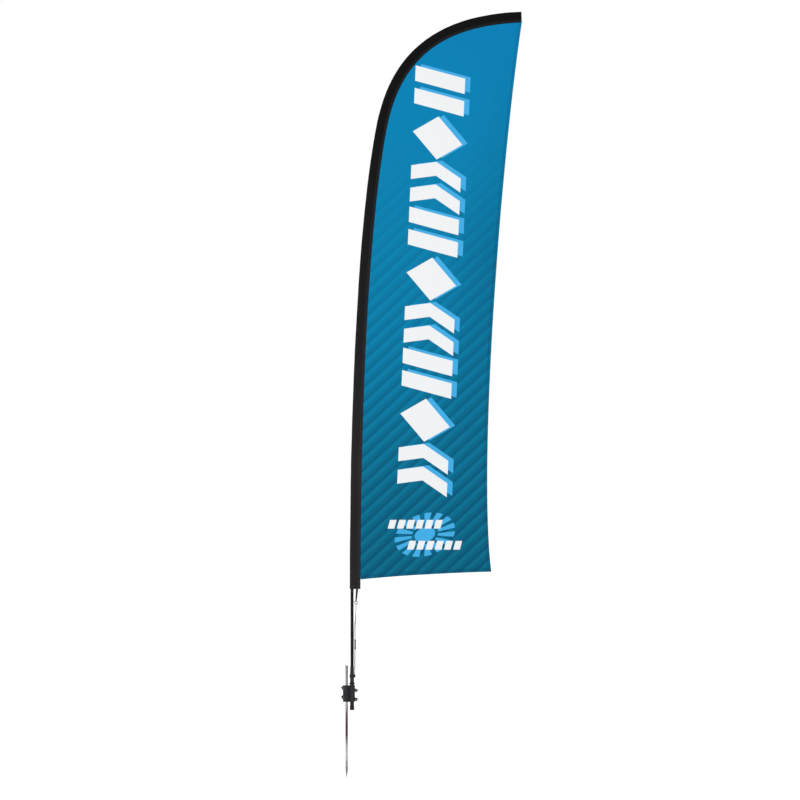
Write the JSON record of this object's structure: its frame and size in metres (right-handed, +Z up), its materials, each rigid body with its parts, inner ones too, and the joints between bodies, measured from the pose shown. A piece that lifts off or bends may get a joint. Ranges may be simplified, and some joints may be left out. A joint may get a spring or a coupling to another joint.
{
  "type": "sail-shaped banner flag with ground stake",
  "caption": "Sail-shaped banner flag in a dark sleeve on a bent pole that swivels on a spindle, clamped beside a pointed ground stake, with a cord and ring that tension the cloth.",
  "frame": {"origin": "on the stake's axis at ground level", "axes": "+Z up along the stake, +X from the stake towards the swivel axis and the flag, -Y is the side of the clamp's bolt heads"},
  "size_m": [0.709, 0.0323, 2.9958],
  "materials": {
    "stake_steel": "heat-tinted ground steel, satin",
    "bright_steel": "bright zinc plate, polished",
    "clamp_plastic": "black glass-filled moulding, fine grain",
    "spindle_paint": "black powder coat, satin",
    "bush_plastic": "white acetal, satin",
    "cap_rubber": "black rubber, matt",
    "pole_fibreglass": "black wrapped fibreglass, semi-gloss",
    "sleeve_cloth": "black woven polyester, matt",
    "printed_cloth": "blue knitted polyester with a white and pale blue print",
    "liner_cloth": "dark grey block-out liner, matt",
    "elastic_webbing": "black ribbed elastic",
    "braided_cord": "light grey braid"
  },
  "bodies": {
    "stake": {"stake_rod": "stake_steel", "stake_head": "stake_steel"},
    "clamp": {"clamp_front_plate": "clamp_plastic", "clamp_back_plate": "clamp_plastic", "clamp_bolt_1": "bright_steel", "clamp_bolt_2": "bright_steel", "clamp_bolt_3": "bright_steel", "clamp_bolt_4": "bright_steel"},
    "spindle": {"spindle_tube": "spindle_paint", "lower_bush": "bush_plastic", "upper_bush": "clamp_plastic", "spindle_end_cap": "cap_rubber"},
    "rotor": {"swivel_post": "stake_steel", "retaining_clip": "bright_steel", "thrust_washer": "clamp_plastic", "swivel_collar": "spindle_paint"},
    "pole": {"pole_foot_socket": "clamp_plastic", "pole_lower": "pole_fibreglass", "pole_middle": "pole_fibreglass", "pole_tip": "pole_fibreglass", "lower_ferrule": "bright_steel", "upper_ferrule": "bright_steel", "pole_tip_cap": "cap_rubber", "sleeve": "sleeve_cloth", "sleeve_tip_patch": "sleeve_cloth", "flag_front_panel": "printed_cloth", "flag_liner": "liner_cloth", "flag_back_panel": "printed_cloth", "leech_hem": "printed_cloth", "foot_hem": "printed_cloth", "elastic_loop": "elastic_webbing", "tension_ring": "bright_steel", "tension_cord": "braided_cord", "cord_crimp": "clamp_plastic", "cord_anchor": "clamp_plastic"},
    "washer_1": {"clamp_washer_1": "bright_steel"},
    "washer_2": {"clamp_washer_2": "bright_steel"},
    "washer_3": {"clamp_washer_3": "bright_steel"},
    "washer_4": {"clamp_washer_4": "bright_steel"},
    "nut_1": {"wing_nut_1": "clamp_plastic"},
    "nut_2": {"wing_nut_2": "clamp_plastic"},
    "nut_3": {"wing_nut_3": "clamp_plastic"},
    "nut_4": {"wing_nut_4": "clamp_plastic"}
  },
  "joints": [
    {"name": "clamp_height", "type": "slide", "parent": "stake", "child": "clamp", "axis": [0, 0, 1], "range_m": [-0.007, 0.065]},
    {"name": "spindle_height", "type": "slide", "parent": "clamp", "child": "spindle", "axis": [0, 0, 1], "range_m": [-0.005, 0.018]},
    {"name": "flag_rotation", "type": "hinge", "parent": "spindle", "child": "rotor", "pos_m": [0.021, 0, 0.114], "axis": [0, 0, 1], "continuous": true},
    {"name": "pole_lift", "type": "slide", "parent": "rotor", "child": "pole", "axis": [0, 0, 1], "range_m": [0, 0.11]},
    {"name": "nut_1_travel", "type": "slide", "parent": "clamp", "child": "washer_1", "axis": [0, 1, 0], "range_m": [0, 0.0025]},
    {"name": "nut_1_turn", "type": "hinge", "parent": "washer_1", "child": "nut_1", "pos_m": [-0.01219, 0.011, 0.0985], "axis": [0, 1, 0], "range_deg": [0, 1080]},
    {"name": "nut_2_travel", "type": "slide", "parent": "clamp", "child": "washer_2", "axis": [0, 1, 0], "range_m": [0, 0.0025]},
    {"name": "nut_2_turn", "type": "hinge", "parent": "washer_2", "child": "nut_2", "pos_m": [-0.01219, 0.011, 0.0625], "axis": [0, 1, 0], "range_deg": [0, 1080]},
    {"name": "nut_3_travel", "type": "slide", "parent": "clamp", "child": "washer_3", "axis": [0, 1, 0], "range_m": [0, 0.0025]},
    {"name": "nut_3_turn", "type": "hinge", "parent": "washer_3", "child": "nut_3", "pos_m": [0.03597, 0.011, 0.088], "axis": [0, 1, 0], "range_deg": [0, 1080]},
    {"name": "nut_4_travel", "type": "slide", "parent": "clamp", "child": "washer_4", "axis": [0, 1, 0], "range_m": [0, 0.0025]},
    {"name": "nut_4_turn", "type": "hinge", "parent": "washer_4", "child": "nut_4", "pos_m": [0.03597, 0.011, 0.053], "axis": [0, 1, 0], "range_deg": [0, 1080]}
  ],
  "couplings": [
    {"joint": "nut_1_travel", "follows": "nut_1_turn", "m_per_rad": 0.00012732},
    {"joint": "nut_2_travel", "follows": "nut_2_turn", "m_per_rad": 0.00012732},
    {"joint": "nut_3_travel", "follows": "nut_3_turn", "m_per_rad": 0.00012732},
    {"joint": "nut_4_travel", "follows": "nut_4_turn", "m_per_rad": 0.00012732}
  ]
}
